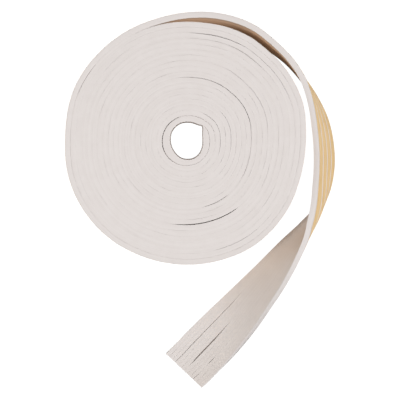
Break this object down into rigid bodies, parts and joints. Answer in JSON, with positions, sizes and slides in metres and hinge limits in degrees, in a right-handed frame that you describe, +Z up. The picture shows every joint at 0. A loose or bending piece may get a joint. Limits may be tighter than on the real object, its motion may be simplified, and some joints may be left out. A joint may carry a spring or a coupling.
{
  "type": "e-profile seal strip",
  "caption": "Wound roll of ribbed self-adhesive rubber sealing strip, joined lanes side by side, lying on its end with a free tail that twists over onto the floor.",
  "frame": {"origin": "middle of the footprint of roll and tail, on the floor", "axes": "+Z up along the roll's axis, +Y from the tail's end towards the roll, +X to the side where the tail stands off"},
  "size_m": [0.1894, 0.2658, 0.0362],
  "materials": {
    "rubber": "matt off-white cellular rubber, finely pored, with a soft extruded grain along its length",
    "liner_paper": "smooth tan release paper with a low sheen"
  },
  "bodies": {
    "root": {"seal_band": "rubber", "liner_1": "liner_paper", "liner_2": "liner_paper", "liner_3": "liner_paper", "liner_4": "liner_paper"}
  },
  "joints": []
}
